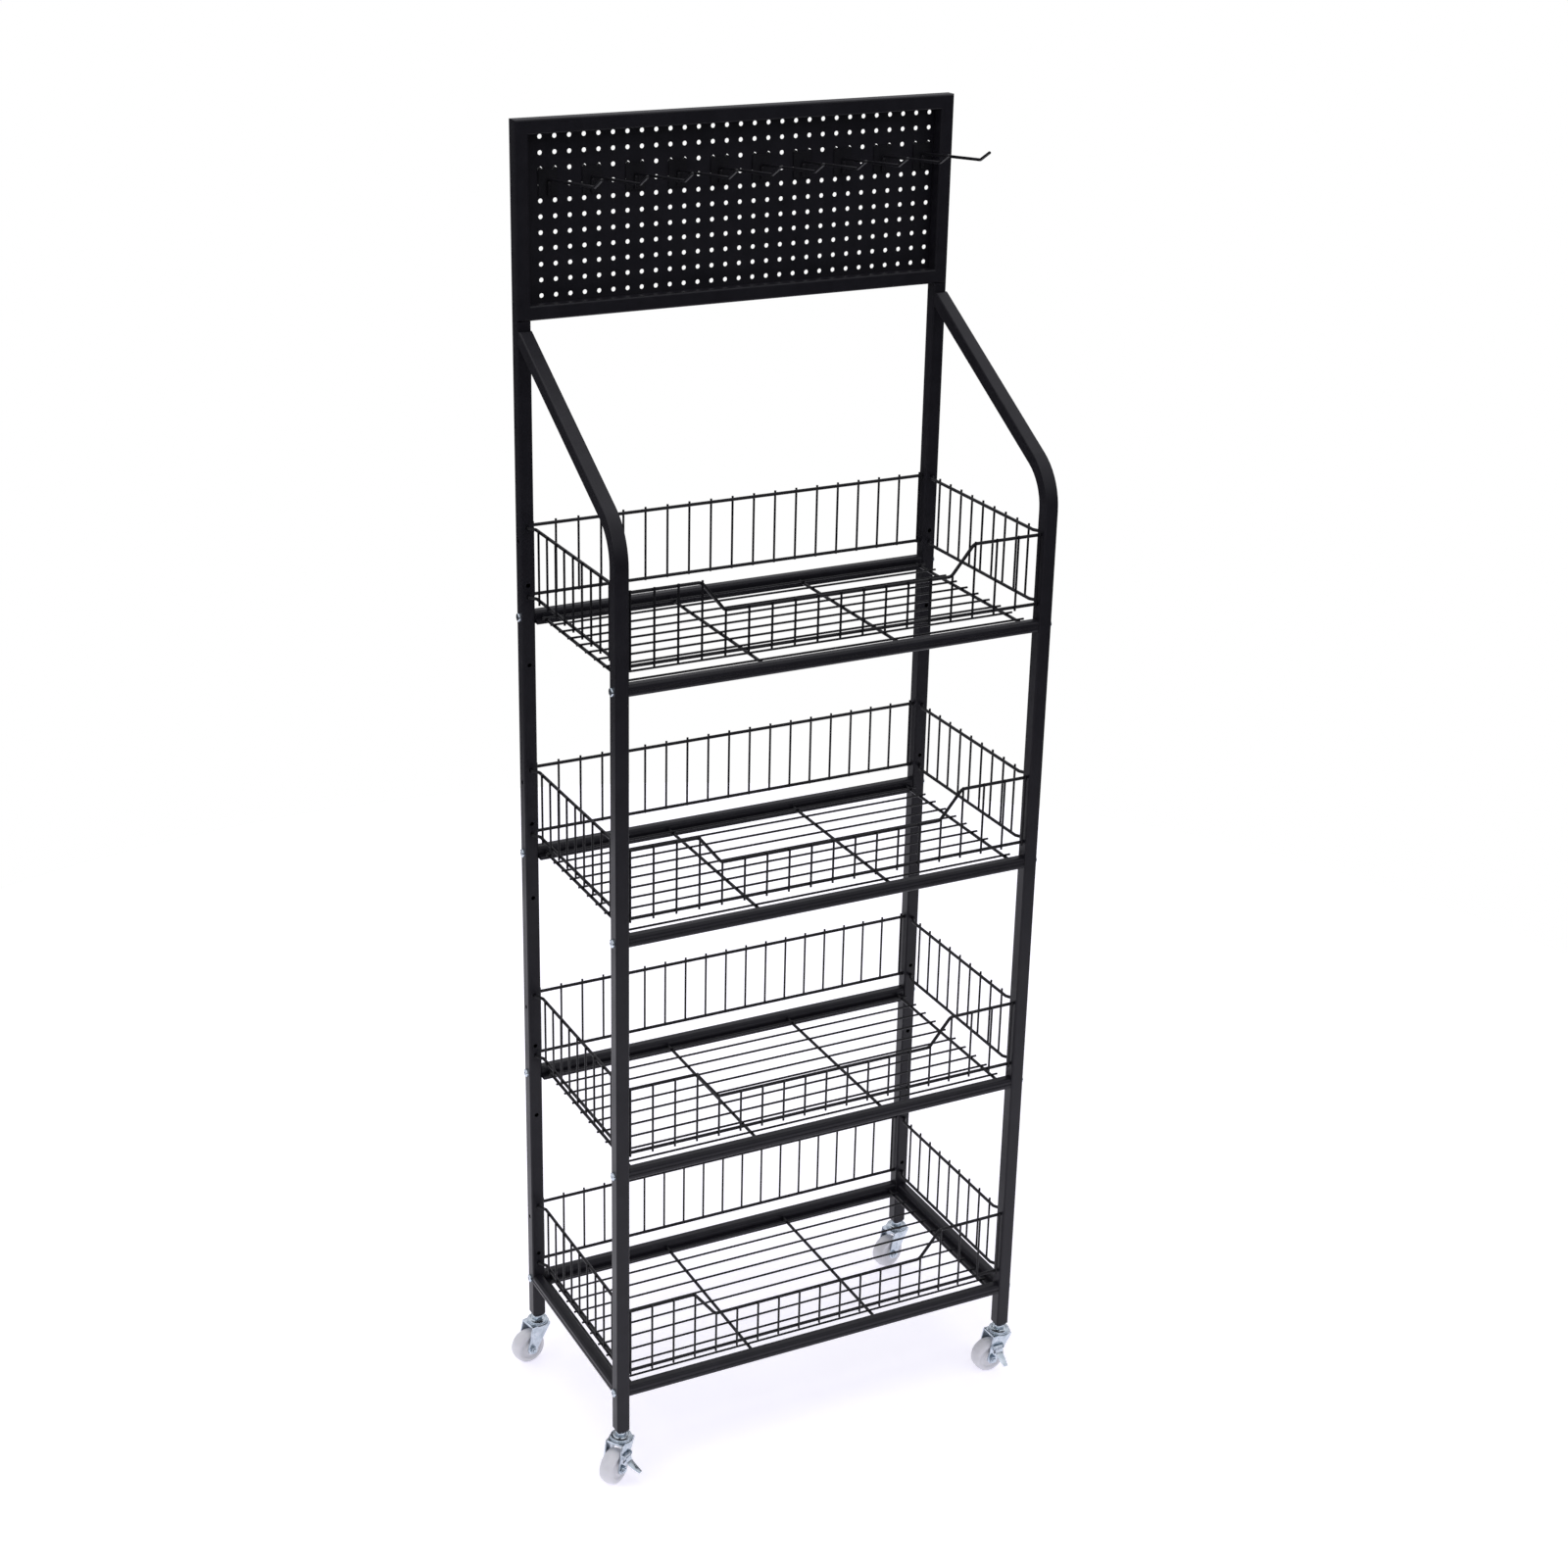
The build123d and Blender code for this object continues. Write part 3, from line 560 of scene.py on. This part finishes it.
def cup_profile():
    """Closed outline of the cup: its floor, rolled lip, waist, bead and domed top."""
    return [(CUP_BORE, CUP_LOW + 0.0012), (0.0125, CUP_LOW + 0.0012), (0.0140, CUP_LOW),
            (CUP_RADIUS, CUP_LOW), (CUP_RADIUS, CUP_LOW + 0.0014), (0.0138, CUP_LOW + 0.0017),
            (0.0138, CUP_LOW + 0.0024), (0.0147, CUP_LOW + 0.0027), (0.0147, CUP_LOW + 0.0036),
            (0.0112, CUP_LOW + 0.0040), (0.0094, CUP_HIGH), (CUP_BORE, CUP_HIGH)]


def add_nut(shape):
    nut = bmesh.ops.create_cone(shape, cap_ends=True, segments=6, depth=NUT_HEIGHT,
                                radius1=NUT_ACROSS / math.sqrt(3), radius2=NUT_ACROSS / math.sqrt(3))
    bmesh.ops.translate(shape, verts=nut["verts"], vec=(0, 0, CUP_HIGH + NUT_HEIGHT / 2))
    nut_verts = set(nut["verts"])
    roll_edges(shape, [edge for edge in shape.edges if nut_verts.issuperset(edge.verts)], NUT_ROLL)


def caster_stack(corner):
    """Stem, cup and lock nut of one caster, in place."""
    stack = bmesh.new()
    stem = [(r, 0, z) for r, z in rounded(stem_profile(), STEM_ROUNDING)]
    cup = [(r, 0, z) for r, z in rounded(cup_profile(), CUP_ROUNDING)]
    add_spun(stack, stem, axis=(0, 0, 1), centre=(0, 0, 0), steps=40)
    add_spun(stack, cup, axis=(0, 0, 1), centre=(0, 0, 0), steps=64)
    add_nut(stack)
    stack.transform(caster_matrix(corner))
    return stack


def add_stems():
    shape = bmesh.new()
    for corner in CORNERS:
        stack = caster_stack(corner)
        loose = bpy.data.meshes.new("caster_stack")
        stack.to_mesh(loose)
        stack.free()
        shape.from_mesh(loose)
        bpy.data.meshes.remove(loose)
    return finish_piece("swivel_cups_and_stems", shape, "frame", "zinc", "caster_stems")


print("made", add_stems().name)

# %% [markdown]
# ### Brake pedals
# A strip of plate is rolled round the hinge pin, hangs down beside the leg and sweeps out into
# a narrow toe flap, while a short tongue reaches back through the leg to the wheel. One edge
# pushed along a few points makes each strip, which is then thickened and its edges rolled. A
# spun sleeve makes the part that goes round the pin.

# %% Bent strips
PEDAL_THICK = 0.0014


def add_strip(shape, route):
    """Add a bent plate that follows a route of (outwards, up, half width) from the hinge."""
    x, z, half = route[0]
    rim = [shape.verts.new((x, -half, z)), shape.verts.new((x, half, z))]
    edge = shape.edges.new(rim)
    faces = []
    for x, z, half in route[1:]:
        grown = bmesh.ops.extrude_edge_only(shape, edges=[edge])["geom"]
        faces += [item for item in grown if isinstance(item, bmesh.types.BMFace)]
        ends = [item for item in grown if isinstance(item, bmesh.types.BMVert)]
        for vert in ends:
            vert.co = (x, math.copysign(half, vert.co.y), z)
        edge = shape.edges.get(ends)
    bmesh.ops.recalc_face_normals(shape, faces=faces)
    bmesh.ops.solidify(shape, geom=faces, thickness=PEDAL_THICK)


print("strips are", PEDAL_THICK * 1000, "mm thick")

# %% Brake pedals
PEDAL_ROUTE = ((0.0021, -0.0014, 0.0060), (0.0028, -0.0065, 0.0060), (0.0040, -0.0094, 0.0060),
               (0.0069, -0.0120, 0.0058), (0.0144, -0.0164, 0.0048), (0.0226, -0.0202, 0.0030))
PEDAL_ROLL = 0.0004
TONGUE_LEAN = math.radians(25)
TONGUE_START = 0.0021
TONGUE_LENGTH = 0.0110
TONGUE_HALF = 0.0040
KNUCKLE_RADIUS = 0.0024
KNUCKLE_BORE = 0.0016
KNUCKLE_HALF = 0.0070
KNUCKLE_ROUNDING = 0.0003


def tongue_route():
    """The tongue leans in towards the wheel as it goes down."""
    inwards, down = math.sin(TONGUE_LEAN), math.cos(TONGUE_LEAN)
    return [(-inwards * reach, -down * reach, TONGUE_HALF) for reach in (TONGUE_START, TONGUE_LENGTH)]


def add_knuckle(shape):
    """Add the sleeve that turns on the hinge pin."""
    sleeve = [(KNUCKLE_BORE, -KNUCKLE_HALF), (KNUCKLE_RADIUS, -KNUCKLE_HALF),
              (KNUCKLE_RADIUS, KNUCKLE_HALF), (KNUCKLE_BORE, KNUCKLE_HALF)]
    outline = [(r, y, 0) for r, y in rounded(sleeve, KNUCKLE_ROUNDING)]
    add_spun(shape, outline, axis=(0, 1, 0), centre=(0, 0, 0), steps=32)


def add_pedal(corner):
    shape = bmesh.new()
    add_strip(shape, PEDAL_ROUTE)
    add_strip(shape, tongue_route())
    roll_edges(shape, sharp_edges(shape), PEDAL_ROLL)
    add_knuckle(shape)
    turn = caster_matrix(corner)
    turn.translation = Vector(joints[corner + "_brake_tip"]["pos_m"])
    shape.transform(turn)
    return finish_piece(corner + "_brake_pedal", shape, corner + "_brake", "zinc",
                        corner + "_brake_lever")


BRAKED = [corner for corner in CORNERS if corner + "_brake" in frame["bodies"]]
for corner in BRAKED:
    print("made", add_pedal(corner).name)

# %% [markdown]
# ### Forks and axles
# Forks and axle bolts keep the shape of the frame's own parts. Each is copied, its triangles are
# welded back into whole faces, and its edges are rolled over by a small bevel, as a press
# leaves them. That thin bright line along an edge is most of what says sheet steel.

# %% Rolled forks and axles
PLATE_ROLL = 0.0005


def add_rolled(node, body, name):
    """A copy of a frame part, in place, with its edges rolled over."""
    shape = bmesh.new()
    shape.from_mesh(frame["nodes"][node].data)
    shape.transform(frame["nodes"][node].matrix_world)
    bmesh.ops.remove_doubles(shape, verts=shape.verts, dist=2e-6)
    bmesh.ops.dissolve_limit(shape, angle_limit=math.radians(1), verts=shape.verts, edges=shape.edges)
    roll_edges(shape, sharp_edges(shape), PLATE_ROLL)
    return finish_piece(name, shape, body, "zinc", node)


for corner in CORNERS:
    print("made", add_rolled(corner + "_fork", corner + "_caster", corner + "_pressed_fork").name)
    print("made", add_rolled(corner + "_axle", corner + "_caster", corner + "_axle_bolt").name)
